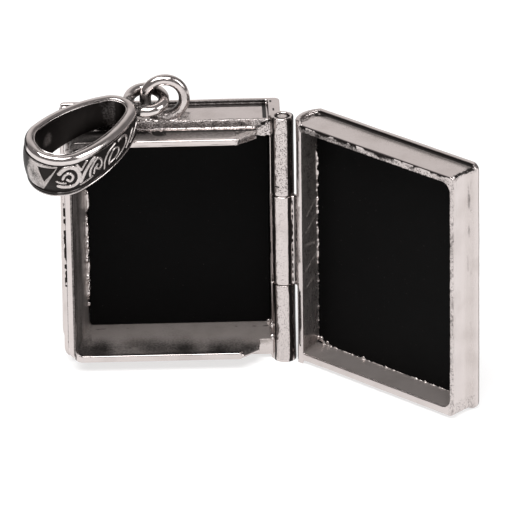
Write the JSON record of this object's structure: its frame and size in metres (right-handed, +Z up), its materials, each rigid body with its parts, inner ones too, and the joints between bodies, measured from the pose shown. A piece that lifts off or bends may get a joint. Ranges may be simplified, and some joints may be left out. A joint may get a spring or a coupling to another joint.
{
  "type": "book locket pendant",
  "caption": "Open book-shaped box locket with a side hinge, black lined trays, an upright ring and a wide tapered bail.",
  "frame": {"origin": "middle of the back cover's lower edge, on the surface that the open locket stands on", "axes": "+X along the back cover towards the hinge, +Y from the open rim to the back cover, +Z up along the hinge"},
  "size_m": [0.0584, 0.0263, 0.0408],
  "materials": {
    "case_silver": "polished silver, blackened in the recesses",
    "lid_silver": "polished silver, blackened in the recesses",
    "pin_silver": "polished silver",
    "bail_silver": "polished rims, blackened ground",
    "lining_black": "matt black"
  },
  "bodies": {
    "case": {"case": "case_silver", "hinge_pin": "pin_silver", "case_lining": "lining_black"},
    "lid": {"lid": "lid_silver", "lid_lining": "lining_black"},
    "bail": {"bail": "bail_silver"}
  },
  "joints": [
    {"name": "lid_hinge", "type": "hinge", "parent": "case", "child": "lid", "pos_m": [0.01493, -0.00565, 0.0175], "axis": [0, 0, 1], "range_deg": [-136, 44]},
    {"name": "bail_swing", "type": "hinge", "parent": "case", "child": "bail", "pos_m": [-0.00277, -0.00551, 0.03753], "axis": [-0.0169, -0.3084, 0.9511], "range_deg": [-75, 25]}
  ],
  "couplings": [
    {"joint": "bail_swing", "follows": "lid_hinge", "ratio": 0.55}
  ]
}
